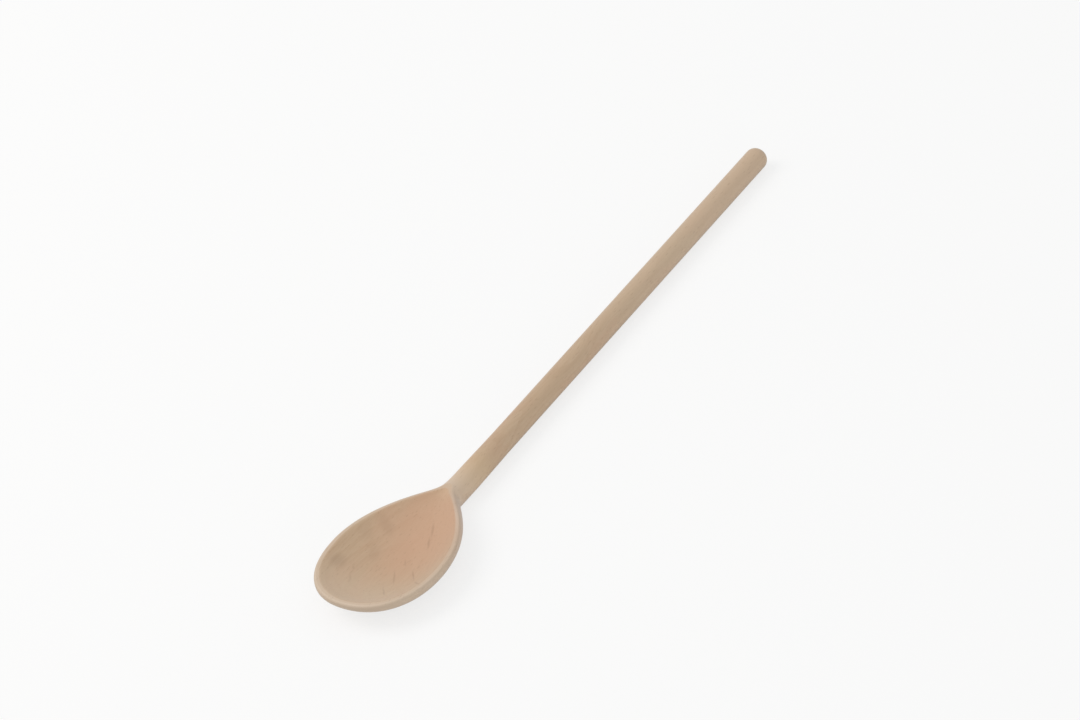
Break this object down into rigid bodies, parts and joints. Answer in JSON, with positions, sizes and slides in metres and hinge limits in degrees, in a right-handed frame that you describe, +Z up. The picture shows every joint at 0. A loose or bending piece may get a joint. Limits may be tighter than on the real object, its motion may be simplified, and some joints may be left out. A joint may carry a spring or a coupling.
{
  "type": "wooden spoon",
  "caption": "Long wooden kitchen spoon with a shallow egg-shaped bowl and a plain round handle with a rounded end.",
  "frame": {"origin": "on the surface that the spoon lies on, under the middle of its length and width", "axes": "+X from the bowl towards the end of the handle, +Z up out of the hollow, +Y to the left of someone who looks along the handle from the bowl"},
  "size_m": [0.35, 0.058, 0.0131],
  "materials": {
    "beech": "sanded, bare"
  },
  "bodies": {
    "root": {"spoon": "beech"}
  },
  "joints": []
}
